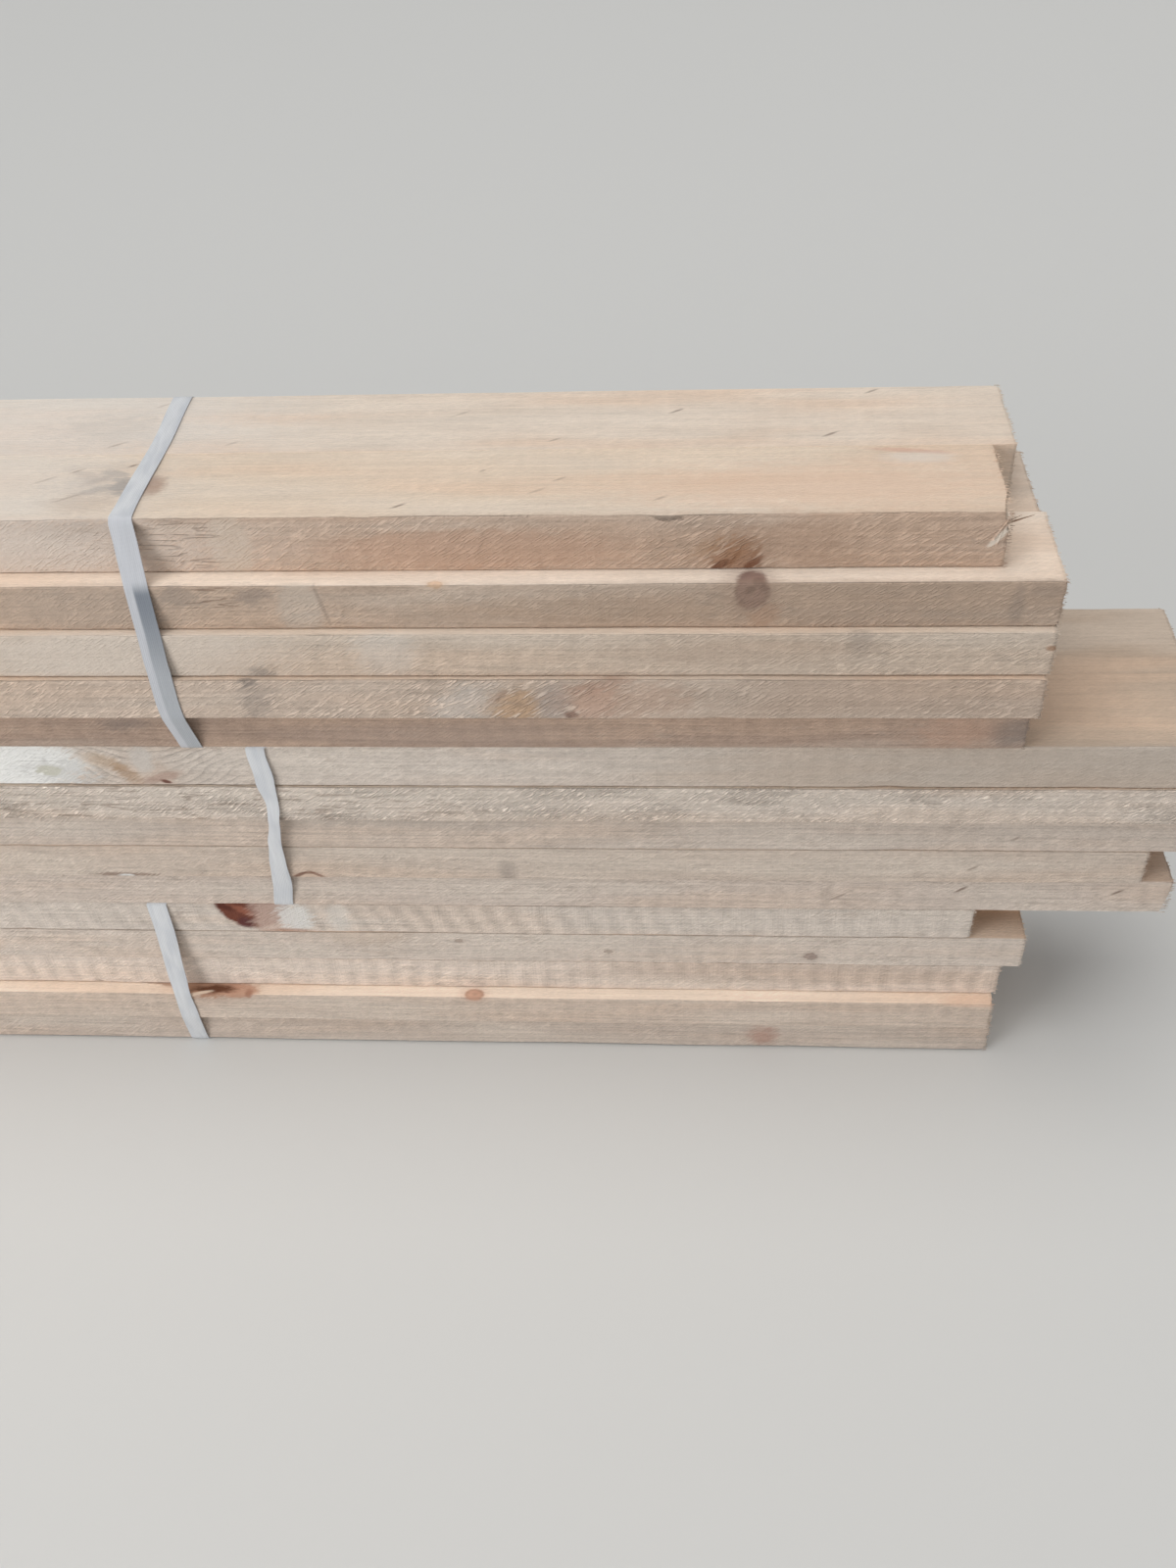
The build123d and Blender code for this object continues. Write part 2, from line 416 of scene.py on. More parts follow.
# %% The studs of the top bundle
top_looks = {
    "top_layer5_front_stud": Look(
        (208, 183, 164), (227, 208, 188), fuzz=1.3, rings=3.0,
        knots=[Knot((-107, 0, 0), (9.0, 9, 12), (160, 116, 88), 4.0, 0.65, 1.8),
               Knot((-354, 28, 27), (16, 16, 4), (214, 192, 170), 9.0, 0.35, 0.8)],
        stains_and_painted_light=[
            StainOrPaintedLight((-112.0, 0, 2.2), (4.4, 2, 1.6), (98, 52, 30), 0.95, 1.3, 0.35, 32),
            StainOrPaintedLight((-99.5, 0, 2.4), (5.0, 2, 1.6), (116, 64, 36), 0.9, 1.4, 0.35, 38),
            StainOrPaintedLight((-106, 0, 6.0), (5.0, 2, 1.0), (132, 84, 52), 0.7, 1.4, 0.4, 60),
            StainOrPaintedLight((-98, 0, 8.0), (4.0, 2, 0.9), (140, 92, 60), 0.6, 1.4, 0.4, 60),
            StainOrPaintedLight((-104, 0, 9.5), (8, 3, 4), (156, 112, 80), 0.5, 1.8, 0.5, 30),
            StainOrPaintedLight((-116, 0, 11), (8, 3, 3), (166, 130, 98), 0.4, 2.4, 0.5, 35),
            StainOrPaintedLight((-93, 0, 3), (2.6, 2, 1.1), (226, 204, 184), 0.8, 0.4, 0.3, 35),
            StainOrPaintedLight((-357, 25, 26), (5, 6.5, 3), (104, 100, 102), 0.8, 1.8, 0.5),
            StainOrPaintedLight((-367, 22, 26), (7, 2.2, 3), grey_mould, 0.55, 2.0, 0.5, 24, True),
            StainOrPaintedLight((-369, 29, 26), (6, 2.0, 3), (150, 128, 114), 0.5, 2.0, 0.5, 30, True),
            StainOrPaintedLight((-363, 35, 26), (6, 2.4, 3), grey_mould, 0.45, 2.0, 0.5, -20, True),
            StainOrPaintedLight((-375, 34, 26), (9, 3.0, 3), (166, 142, 126), 0.35, 2.4, 0.6, -25, True),
            StainOrPaintedLight((-366, 28, 26), (18, 13, 3), (186, 168, 154), 0.4, 2.2, 0.7),
            StainOrPaintedLight((-344, 25, 26), (4.4, 6.5, 3), (166, 130, 108), 0.8, 1.4, 0.6),
            StainOrPaintedLight((-372, 12, 26), (14, 7, 3), tan_stain, 0.4, 1.6, 0.5),
            StainOrPaintedLight((-70, 20, 26), (80, 15, 3), (234, 198, 172), 0.5, 1.2, 0.7),
            StainOrPaintedLight((-34, 46, 26), (14, 1.6, 3), (210, 160, 138), 0.5, 1.4, 0.5, -6, True),
            StainOrPaintedLight((-32, 41, 26), (13, 4, 3), chalky, 0.35, 1.2, 0.6),
            StainOrPaintedLight((-210, 0, 10), (60, 4, 9), rosy, 0.4, 0.8),
            StainOrPaintedLight((-80, 0, 12), (20, 3, 9), (170, 140, 120), 0.35, 1.2, 0.6),
            # Painted shade: the front is painted darker along its right part, where less light fell.
            StainOrPaintedLight((-130, 0, 12), (130, 3, 20), (176, 144, 120), 0.28, 0.8, 0.6),
            StainOrPaintedLight((-344, 0, 20.5), (4.5, 3, 2.2), (112, 84, 60), 0.7, 0.8, 0.5, -32),
            StainOrPaintedLight((-309, 0, 12), (8, 3, 16), (212, 194, 176), 0.7, 0.5, 0.3),
            StainOrPaintedLight((-372, 0, 20), (16, 3, 5), grey_mould, 0.3, 1.6),
            StainOrPaintedLight((-410, 25, 26), (60, 40, 4), chalky, 0.4, 0.6, 0.7),
            # Painted highlight: a pale streak where the torn fibre at the corner catches the light.
            StainOrPaintedLight((-4, 0, 14.5), (6, 2, 1.3), (238, 226, 212), 0.9, 0.8, 0.4, 52),
            # Painted shadow: a small dark spot in the gap beside the torn fibre at the end.
            StainOrPaintedLight((-0.4, 1, 18.4), (1.8, 3, 1.1), (96, 70, 54), 0.8, 0.6, 0.4, 40),
            StainOrPaintedLight((6.5, 1, 21), (6.8, 4, 5), (120, 92, 72), 0.9, 0.2, 0.2),
            # Painted light: the front is painted paler at its left, where more light fell.
            StainOrPaintedLight((-430, 0, 10), (110, 4, 16), (225, 212, 201), 0.8, 0.6, 0.6),
            *flecks_on_top((-240, 8, 3.0, 0.75), (-177, 27), (-186, 18, 4.0, 0.3), (-136, 12),
                           (-209, 34, 1.4), (-357, 41, 2.0, 0.8), (-380, 37, 3.0),
                           (-392, 30, 5.0, 0.3), (-378, 16, 6.0, 0.3)),
        ],
        torn=[patch(-118, 10, 48, 36, 1.6), patch(-40, 10, 80, 36, 0.8), patch(-230, 12, 160, 36, 0.5)],
        cracked=[patch(-326, 13, 44, 24, 0.75), patch(-365, 14, 20, 20, 0.3)]),
    "top_layer5_back_stud": Look(
        (200, 180, 160), (227, 211, 195), rings=3.4,
        knots=[Knot((-385, 26, 27), (18, 12, 4), (216, 196, 176), 8.0, 0.3, 0.8)],
        stains_and_painted_light=[
            StainOrPaintedLight((-60, 25, 22), (90, 16, 3), (234, 202, 176), 0.45, 0.8),
            StainOrPaintedLight((-380, 20, 26), (26, 12, 3), grey_mould, 0.18, 2.4, 0.6),
            StainOrPaintedLight((-400, 26, 26), (80, 40, 4), chalky, 0.45, 0.6, 0.7),
            *flecks_on_top((-328, 8, 3.0, 0.3), (-232, 31, 4.0, 0.3), (-139, 31, 3.4, 0.7),
                           (-190, 8, 3.0, 0.4), (-75, 10, 3.4, 0.7), (-55, 46, 2.8, 0.6),
                           (-366, 42, 3.0, 0.3), (-378, 8, 4.0, 0.4)),
        ]),
    "top_layer4_front_stud": Look(
        (195, 173, 155), (242, 226, 210), fuzz=1.3,
        knots=[Knot((-122.5, 1, 17.4), (6.8, 9, 8.6), (136, 108, 98), 5.0, 0.9, 0.45),
               Knot((-249, 1, 21.8), (3, 2, 2), (216, 176, 140), 1.5, 0.5)],
        stains_and_painted_light=[
            StainOrPaintedLight((-123.5, 0, 18.0), (2.6, 4, 1.5), (92, 68, 60), 0.6, 1.8, 0.5, 40),
            StainOrPaintedLight((-119.5, 0, 21), (3.6, 4, 1.4), (104, 80, 72), 0.5, 1.6, 0.5, -40),
            StainOrPaintedLight((-117, 0, 6.0), (7, 4, 4.5), (190, 142, 110), 0.4, 1.2, 0.5, 30),
            StainOrPaintedLight((-355, 0, 17), (9, 3, 4), grey_mould, 0.35, 2.4, 0.5),
            StainOrPaintedLight((-323, 0, 17), (7, 3, 4), grey_mould, 0.4, 2.6, 0.6),
            StainOrPaintedLight((-18, 0, 11), (2.5, 3, 10), grey_mould, 0.4, 1.2, 0.6),
            StainOrPaintedLight((-8, 0, 18), (7, 3, 4), grey_mould, 0.3, 1.2, 0.6),
            StainOrPaintedLight((-190, 0, 9), (60, 3, 6), tan_stain, 0.18, 1.2, 0.6),
            # Painted shade: the front is painted darker along its right part, where less light fell.
            StainOrPaintedLight((-100, 0, 12), (120, 3, 18), (166, 144, 126), 0.42, 0.8, 0.6),
            StainOrPaintedLight((-306, 0, 11), (9, 3, 16), (206, 196, 184), 0.4, 0.6, 0.3),
            StainOrPaintedLight((-296.5, 0, 12), (0.8, 3, 11), (130, 112, 102), 0.35, 0.8, 0.6, 12),
            StainOrPaintedLight((-395, 0, 12), (40, 4, 14), (176, 162, 150), 0.4, 0.8, 0.6),
        ],
        torn=[patch(-60, 10, 130, 30, 0.8)],
        cracked=[patch(-342, 15, 26, 16, 0.5), patch(-300, 1, 60, 5, 0.3)]),
    "top_layer3_front_stud": Look(
        (209, 191, 174), (226, 208, 190), fuzz=1.3,
        stains_and_painted_light=[
            StainOrPaintedLight((-78, 0, 17), (5, 3, 8), grey_mould, 0.3, 1.6, 0.6),
            StainOrPaintedLight((-120, 0, 12), (50, 3, 7), (176, 150, 130), 0.3, 1.2, 0.6),
            StainOrPaintedLight((-2, 0, 14), (2.2, 3, 1.4), (160, 116, 84), 0.6),
            StainOrPaintedLight((-272, 0, 14), (12, 3, 12), chalky, 0.25, 1.0, 0.6),
            StainOrPaintedLight((-330, 0, 6), (30, 3, 4), tan_stain, 0.25, 1.2, 0.6),
            # Painted light: the front is painted paler at its left, where more light fell.
            StainOrPaintedLight((-385, 0, 12), (70, 3, 16), (226, 214, 202), 0.6, 0.8, 0.6),
            StainOrPaintedLight((-326, 0, 2), (5, 3, 3), grey_mould, 0.5, 1.6, 0.5),
        ],
        torn=[patch(-60, 10, 130, 30, 0.6)]),
    "top_layer2_front_stud": Look(
        (210, 191, 175), (214, 195, 177), fuzz=2.4,
        knots=[Knot((-219, 0, 7.5), (10, 6, 7.5), (190, 154, 120), 6.0, 0.55, 2.2),
               Knot((-186, 0, 9), (9, 5, 9), (206, 172, 154), 6.0, 0.45, 1.3)],
        stains_and_painted_light=[
            StainOrPaintedLight((-331, 0, 20), (4, 2, 3), grey_mould, 0.45, 1.6, 0.5),
            StainOrPaintedLight((-330, 0, 10), (7, 3, 10), grey_mould, 0.35, 2.2, 0.6),
            StainOrPaintedLight((-203, 0, 9), (7, 3, 10), (172, 160, 154), 0.55, 0.8, 0.5),
            StainOrPaintedLight((-195.5, 0, 2.4), (3.0, 2, 1.6), (108, 76, 66), 0.7, 1.6, 0.5, 25),
            StainOrPaintedLight((-226, 0, 12), (5, 3, 1.6), (140, 104, 80), 0.5, 2.0, 0.5, 40),
            StainOrPaintedLight((-184, 0, 18), (14, 3, 3), (166, 130, 112), 0.45, 1.6, 0.6, 14),
            StainOrPaintedLight((-240, 0, 9), (16, 3, 8), chalky, 0.25, 1.6, 0.6, 30),
            StainOrPaintedLight((-170, 0, 10), (26, 3, 9), rosy, 0.35, 1.2, 0.6),
            # Painted shade: the front is painted darker along its right part, where less light fell.
            StainOrPaintedLight((-80, 0, 10), (100, 3, 14), (172, 148, 130), 0.42, 0.8, 0.6),
        ],
        torn=[patch(-225, 10, 120, 32, 1.5), patch(-182, 12, 24, 28, 1.0)]),
    # Painted shade: this stud lies back under the one above, and its front tone is painted darker for
    # the shadow it lies in.
    "top_layer1_front_stud": Look(
        (177, 153, 137), rings=1.7, grain=1.6,
        stains_and_painted_light=[
            StainOrPaintedLight((-391, 0, 14), (10, 3, 4), grey_mould, 0.4, 1.6, 0.5),
            StainOrPaintedLight((-5, 0, 9), (10, 4, 8), grey_mould, 0.5, 1.6, 0.6),
            StainOrPaintedLight((-30, 0, 10), (16, 4, 9), rosy, 0.35, 1.0, 0.6),
            StainOrPaintedLight((-250, 0, 8), (60, 4, 7), (170, 152, 142), 0.35, 1.2, 0.6),
        ]),
}

# %% [markdown]
# The middle bundle has greyed most. The rings of its uppermost stud arch round a knot left of
# the strap, with chalky wood beyond it. The stud below is the fuzziest of all, and the second
# from below has a small split knot beside the strap.

# %% The studs of the middle bundle
middle_looks = {
    # Painted shade: the top tone of this stud is painted darker, for the shade beside the top bundle's
    # ends.
    "middle_layer5_front_stud": Look(
        (217, 205, 194), (195, 175, 156), marks=0.9, rings=3.0, grain=0.7,
        knots=[Knot((-474, 0, 0), (13, 8, 16), (204, 178, 158), 0.0, 0.3, 0.6, 17.0)],
        stains_and_painted_light=[
            StainOrPaintedLight((-535, 0, 12), (34, 4, 16), (250, 250, 247), 0.9, 0.8, 0.25),
            StainOrPaintedLight((-520, 0, 9), (6, 3, 3), (228, 226, 208), 0.8, 1.4),
            StainOrPaintedLight((-513, 0, 8), (16, 3, 7), grey_mould, 0.25, 3.2, 0.4),
            StainOrPaintedLight((-494, 0, 15), (10, 4, 4), (190, 160, 128), 0.45, 1.4, 0.5, -22),
            StainOrPaintedLight((-484, 0, 8), (8, 3, 3.5), (172, 138, 106), 0.55, 1.2, 0.5, -50),
            StainOrPaintedLight((-475, 0, 16), (5, 3, 8), (212, 204, 196), 0.8, 0.7),
            StainOrPaintedLight((-468, 0, 5), (9, 3, 2.4), (168, 132, 118), 0.5, 1.2, 0.5, 15),
            StainOrPaintedLight((-466.5, 0, 2.4), (2.4, 2, 1.1), (108, 62, 50), 0.9, 0.9, 0.4, -15),
            # Painted shade: the front is painted darker along its right part, where less light fell.
            StainOrPaintedLight((-90, 0, 10), (150, 4, 20), (178, 163, 148), 0.55, 0.6, 0.6),
        ],
        cracked=[patch(-522, 12, 40, 16, 0.5)]),
    # Painted shade: its top tone is painted darker too, for the same shade.
    "middle_layer5_back_stud": Look((208, 192, 176), (195, 175, 156)),
    "middle_layer4_front_stud": Look(
        (230, 216, 203), fuzz=5.0, rings=2.0, grain=1.3, cracked=[patch(-470, 10, 280, 30, 0.4)]),
    "middle_layer3_front_stud": Look(
        (209, 195, 183), rings=2.0, grain=1.4,
        stains_and_painted_light=[fleck(-84, 0, 8.5),
                StainOrPaintedLight((-360, 0, 19), (60, 3, 4), (178, 166, 156), 0.35, 1.2, 0.6)]),
    "middle_layer2_front_stud": Look(
        (209, 193, 179),
        knots=[Knot((-395, 0, -1.0), (9, 5, 6), (206, 178, 158), 4.0, 0.5)],
        stains_and_painted_light=[
            StainOrPaintedLight((-400, 0, 2.2), (4.5, 2, 1.0), (112, 74, 58), 0.8, 0.5, 0.5, 28),
            StainOrPaintedLight((-395.5, 0, 3.6), (3, 2, 0.8), (120, 84, 66), 0.7, 0.5, 0.5),
            StainOrPaintedLight((-391.5, 0, 2.6), (4.5, 2, 0.9), (130, 92, 74), 0.7, 0.5, 0.5, -30),
            StainOrPaintedLight((-488, 0, 1.5), (14, 3, 1.5), (120, 92, 76), 0.6, 1.6),
            StainOrPaintedLight((-486, 0, 0.8), (4, 2, 1.3), chalky, 0.9, 0.8),
            StainOrPaintedLight((-298, 0, 4), (4, 3, 9), grey_mould, 0.3, 1.4, 0.6),
            fleck(-79, 0, 10, 3),
        ]),
    "middle_layer1_front_stud": Look(
        (211, 196, 184), (206, 184, 166), rings=1.9, grain=1.3,
        stains_and_painted_light=[fleck(-98, 0, 15, 3, 0.8), fleck(-25, 0, 14, 3, 0.7), fleck(-156, 0, 9, 4, 0.5)]),
}

# %% [markdown]
# The bottom bundle shows the saw's washboard on two of its fronts. A patch of dark red bark
# lies near the strap, with chalky wood beside it, and a clean ledge further down has two knots.

# %% The studs of the bottom bundle
bottom_looks = {
    "bottom_layer5_front_stud": Look(
        (217, 205, 194), marks=2.4, slant=0.35, fuzz=1.2,
        stains_and_painted_light=[
            StainOrPaintedLight((-357, 0, 23), (18.5, 4, 20), (112, 56, 38), 0.97, 0.15, 0.08),
            StainOrPaintedLight((-371, 0, 19), (5, 3, 2.5), (84, 42, 32), 0.7, 1.2, 0.5, -30),
            StainOrPaintedLight((-362, 0, 16), (7, 3, 2.2), (166, 104, 82), 0.6, 1.6, 0.5, -35),
            StainOrPaintedLight((-362, 0, 7), (4, 3, 4), (92, 52, 54), 0.8, 0.6, 0.5),
            StainOrPaintedLight((-347.5, 0, 12), (10.5, 3, 22), (216, 190, 176), 0.7, 0.9, 0.4),
            StainOrPaintedLight((-336, 0, 11), (9.5, 3, 10), chalky, 0.8, 1.3, 0.3),
            StainOrPaintedLight((-340, 0, 1.0), (12, 3, 1.6), (176, 126, 98), 0.6, 1.2, 0.5),
            StainOrPaintedLight((-314, 0, 12), (5, 3, 12), (230, 224, 216), 0.5, 0.8, 0.5),
        ],
        cracked=[patch(-400, 14, 30, 16, 0.3), patch(-322, 6, 30, 12, 0.3)]),
    "bottom_layer4_front_stud": Look(
        (217, 203, 191), (218, 192, 170), fuzz=1.2, cracked=[patch(-325, 8, 50, 20, 0.3)],
        knots=[Knot((-330, 0, 22), (22, 5, 10), (206, 186, 168), 6.0, 0.35, 1.0),
               Knot((-283, 0, 15.9), (2, 1.6, 1.4), (150, 130, 116), 1.5, 0.5),
               Knot((-207, 0, 8.8), (2.4, 1.6, 1.4), (150, 130, 116), 1.5, 0.5),
               Knot((-105, 0, 6.8), (3.6, 3, 2.6), (138, 116, 106), 3.0, 0.6, 1.0)]),
    "bottom_layer3_front_stud": Look(
        (230, 214, 201), marks=2.4,
        stains_and_painted_light=[StainOrPaintedLight((-100, 0, 14), (110, 3, 8), (178, 154, 136), 0.35, 0.6)]),
    # Painted light: the ledge's top tone is painted brighter than the wood, to make up for the light the
    # studs above keep off it.
    "bottom_layer2_front_stud": Look(
        (212, 194, 179), (252, 234, 216),
        knots=[Knot((-409, 5, 20.5), (17, 6, 5), (176, 126, 96), 5.0, 0.75, 1.0),
               Knot((-267, 2.6, 20), (5, 3.6, 3), (198, 152, 128), 3.0, 0.8, 0.3)],
        stains_and_painted_light=[
            StainOrPaintedLight((-392, 3, 19.8), (10, 5, 3), (196, 152, 128), 0.85, 0.7, 0.25),
            StainOrPaintedLight((-406, 4, 20), (11, 2.6, 2), (98, 58, 38), 0.95, 1.0, 0.4),
            StainOrPaintedLight((-437, 8, 20), (14, 1.4, 2), (150, 100, 72), 0.6, 1.4, 0.5, -10, True),
            StainOrPaintedLight((-413, 1.5, 20), (7, 1.0, 2), (240, 218, 196), 0.9, 0.8, 0.4, 12, True),
            StainOrPaintedLight((-387, 1, 19.8), (2, 3, 2), (150, 96, 74), 0.5, 0.8, 0.5),
            StainOrPaintedLight((-10, 2, 19.8), (16, 5, 2), (236, 196, 168), 0.4, 0.8),
        ]),
    "bottom_layer1_front_stud": Look(
        (207, 191, 178), rings=2.0, grain=1.2,
        stains_and_painted_light=[StainOrPaintedLight((-118, 0, 9), (7, 4, 8), (182, 138, 122), 0.6, 1.2, 0.5)]),
}
seen_looks = {**top_looks, **middle_looks, **bottom_looks}
print(len(seen_looks), "studs are described,", len(stud_names) - len(seen_looks), "are hidden")

# %% [markdown]
# The other studs, and the far lengths of all of them, don't show. They still get tones, small
# knots and flecks, drawn from a random generator with a fixed seed, so that the pile looks
# the same from every side and on every run.


# %% Make up what is hidden
def hidden_look(chance):
    warm = chance.uniform(-5, 5)
    light = chance.uniform(-5, 4)
    side = (208 + light + warm, 192 + light, 175 + light - warm)
    flat = (222 + light + warm, 204 + light, 187 + light - warm)
    return Look(side, flat, chance.uniform(0.8, 1.6), chance.uniform(0.8, 1.8),
                chance.uniform(-0.2, 0.3), chance.uniform(1.8, 3.4), chance.uniform(0.8, 1.3))


made_up_knots = 3
made_up_stains = 3


def add_hidden_marks(look, chance, length, width, thickness, free_from, back_shows):
    """Knots and flecks on the lengths that the picture doesn't show."""
    for _ in range(made_up_knots):
        x = chance.uniform(-length + 40, free_from)
        radius = chance.uniform(3, 9)
        y = chance.choice((0, width)) if back_shows else 0
        z = chance.uniform(3, thickness - 3)
        colour = chance.choice((knot_brown, knot_purple, (196, 158, 128)))
        look.knots.append(Knot((x, y, z), (radius, radius * 0.8, radius * 0.8), colour, radius * 0.6))
    for _ in range(made_up_stains):
        x = chance.uniform(-length + 20, free_from)
        size = (chance.uniform(8, 40), 6, chance.uniform(4, 9))
        place = (x, chance.choice((0, width)), chance.uniform(4, thickness - 4))
        colour = chance.choice((grey_mould, rosy, tan_stain, chalky))
        look.stains_and_painted_light.append(StainOrPaintedLight(place, size, colour, chance.uniform(0.2, 0.45), 1.0))


# %% [markdown]
# ## The pine material
# Sawn wood is a solid cut through a tree, so its pattern belongs to a volume. A picture
# wrapped round the stud would break at every edge. Here the rings are distances from the
# heart of the tree, a line that runs along the stud and wanders a little. The same maths
# then shows as lines on the sides, as arches on the flat faces and as arcs on the ends.


# %% Rings, knots, stains and painted light
def ring_field(place, parts, look, chance, seed, bend):
    """0 to 1 through each year of growth: light early wood first, dark late wood last."""
    heart_across = chance.uniform(-5, 55)
    heart_side = chance.choice((-1, 1))
    heart_height = heart_side * chance.uniform(55, 120)
    wander = stretched_noise(place, (330, 120, 120), shift=seed * 1.7)
    ripple = stretched_noise(place, (90, 11, 11), shift=seed * 2.3)
    spacing = stretched_noise(place, (900, 13, 13), 1.0, 0.5, seed * 6.1)
    sideways = parts[1] - heart_across
    upwards = parts[2] - heart_height
    squares = sideways * sideways + upwards * upwards
    radius = squares.take("SQRT")
    year = (radius + wander * 16 + ripple * 1.6 + spacing * 9 - bend * heart_side) / look.rings
    return year.take("FRACT")


def knot_fields(place, height, knots, shaken):
    """For each knot its reach, 1 at its edge; and how far all of them bring the rings down."""
    bend = 0.0
    reaches = []
    for knot in knots:
        plain = reach_from(place, knot.place, knot.size)
        middle, half = knot.place[2], knot.size[2]
        parting = 1 - fade(height, middle - half, middle + half) * 2
        bend = bend + fade(plain, 4.2, 0.6) * (parting * knot.bend + knot.pull)
        reaches.append(plain + (shaken - 0.5) * knot.feather)
    return reaches, bend


def patch_field(place, patches):
    """How rough the face is in some patches: 0 away from them."""
    rough = 0.0
    for rough_patch in patches:
        reach = reach_from(place, rough_patch.place, rough_patch.size)
        rough = rough + fade(reach, 1.25, 0.6) * rough_patch.strength
    return rough


def paint_knot(colour, reach, knot, mottle):
    """A dark heart and rim with paler wood between, a few cracks, and a warm halo round it all."""
    tone = display(*knot.colour)
    around = mix(fade(reach, 2.2, 0.9) * 0.30 * knot.strength, colour, tone)
    year = reach * 6.8
    rings = 1.06 - year.take("COSINE") * 0.12 + (mottle - 0.5) * 0.8
    body = mix(fade(reach, 1.2, 0.85) * knot.strength, around, tint(tone, rings))
    cracks = fade(mottle, 0.66, 0.74) * fade(reach, 1.0, 0.6)
    return mix(cracks * 0.7 * knot.strength, body, display(92, 60, 46))


def paint_stain_or_light(colour, place, stain, mottle):
    plain = reach_from(place, stain.place, stain.size, stain.tilt, stain.on_top)
    reach = plain + (mottle - 0.5) * 1.6 * stain.ragged
    edge = fade(reach, 1 + stain.soft, 1 - stain.soft)
    return mix(edge * stain.strength, colour, display(*stain.colour))


# %% [markdown]
# The narrow sides, the wide faces and the sawn ends of a stud differ: the sides are greyed and
# fuzzy, the faces are clean, and the ends are darker and show the rings best. Which of them a
# point is on follows from how near it is to each. One mask for each would do, but two are
# enough, because what is neither side nor end is face.

# %% Tell sides, faces and ends apart
side_depth = 0.75
end_depth = 1.6


def zones(name, parts, width, length):
    """1 on the narrow side that shows, and 1 on both ends."""
    from_side = parts[1] if "front" in name else width - parts[1]
    on_side = fade(from_side, side_depth, side_depth - 0.35)
    from_end = (parts[0] + length / 2).take("ABSOLUTE")
    on_end = fade(from_end, length / 2 - end_depth, length / 2 - end_depth + 0.6)
    return on_side, on_end


# %% [markdown]
# The rest of the pattern is noise of several sizes, from broad patches to single fibres. The
# saw raised the fibres in short strokes that lean by about thirty degrees, so their noise is
# turned by that much, upwards on the sides and backwards on the faces, before it is stretched.
# The saw's washboard is a sine along the stud. Colour and relief share all of this, so both
# are kept together.

# %% Lay down the grain
fibre_lean = 33
washboard_pitch = 11.5


class Grain:
    """The patterns of one stud, which its colour and its relief share."""

    def __init__(self, place, parts, on_side, look, seed):
        upwards = {"Vector": place, "Rotation": (0, math.radians(fibre_lean), 0)}
        backwards = {"Vector": place, "Rotation": (0, 0, -math.radians(fibre_lean))}
        on_the_side = place.next("ShaderNodeMapping", {}, upwards).stretch(5.0, 2.5, 0.75)
        on_the_face = place.next("ShaderNodeMapping", {}, backwards).stretch(5.0, 0.8, 2.5)
        leaning = blend(on_side, on_the_face, on_the_side)
        fibres = stretched_noise(leaning, (1, 1, 1), 1.0, 0.4, seed * 8.7)
        self.strokes = fade(fibres, 0.44, 0.70)
        self.streaks = stretched_noise(place, (38, 1.2, 1.2), 3.0, 0.65, seed * 3.1)
        self.patches = stretched_noise(place, (40, 14, 12), 2.0, 0.5, seed * 7.3)
        self.blush = stretched_noise(place, (150, 26, 18), 2.0, 0.5, seed * 0.9)
        self.mottle = stretched_noise(place, (9, 3.5, 3.5), 2.0, 0.65, seed * 4.3)
        self.fuzz = stretched_noise(place, (3.0, 0.7, 0.7), 2.0, 0.7, seed)
        self.saw_lines = stretched_noise(place, (0.9, 20, 20), 1.0, 0.5, seed * 5.1)
        self.saw_marks = (0.35 + on_side * 0.65) * look.marks
        self.shaken = fibres * on_side + self.fuzz * (1 - on_side)
        sweep = parts[0] + parts[2] * look.slant + self.blush * 16
        waves_along = (sweep * (2 * math.pi / washboard_pitch)).take("SINE")
        self.washboard = waves_along * fade(self.blush, 0.3, 0.6)
        tufts = (fade(self.patches, 0.42, 0.62) * 0.6 + 0.4) * look.fuzz
        self.tufts = (tufts + patch_field(place, look.torn)) * (0.4 + on_side * 0.6)


# %% [markdown]
# The tone starts from the look's two colours. Broad warm and pale areas go over them, then
# everything that makes the wood lighter or darker is added up and applied at once, so that no
# step hides another: late wood, streaks, patches, fuzz, strokes and saw marks.

# %% Colour the wood
def wood_colour(grain, look, ring, near_knots, on_side, on_end):
    colour = mix(on_side, display(*look.flat), display(*look.side))
    warm = fade(grain.blush, 0.46, 0.66) * (0.4 - on_side * 0.2)
    colour = mix(warm, colour, display(230, 197, 170))
    colour = mix(fade(grain.blush, 0.50, 0.32) * 0.3, colour, display(227, 216, 203))
    dulled = fade(grain.mottle + grain.patches, 1.02, 1.45) * on_side * 0.45
    colour = mix(dulled, colour, display(170, 155, 143))
    contrast = (0.3 + on_side * (0.8 * look.grain - 0.3) + on_end) * near_knots
    shade = 1.04 - ring ** 3 * contrast * 0.11 * (0.3 + grain.patches * 1.4)
    shade = shade + (grain.streaks - 0.5) * (0.34 + on_side * 0.26)
    shade = shade + (grain.patches - 0.5) * (0.24 + on_side * 0.14)
    shade = shade + (grain.fuzz - 0.5) * (0.32 + on_side * 0.24)
    shade = shade + (grain.strokes - 0.4) * grain.tufts * 0.14
    shade = shade + (grain.washboard * 0.036 + (grain.saw_lines - 0.5) * 0.05) * grain.saw_marks
    return tint(colour, shade - on_end * 0.10)


def wood_relief(grain, on_side):
    """Heights in millimetres, too fine for the mesh."""
    relief = grain.fuzz * (0.25 + on_side * 0.30) + grain.strokes * grain.tufts * 0.16
    return relief + grain.streaks * 0.2 + grain.mottle * 0.1 + grain.saw_lines * grain.saw_marks * 0.08


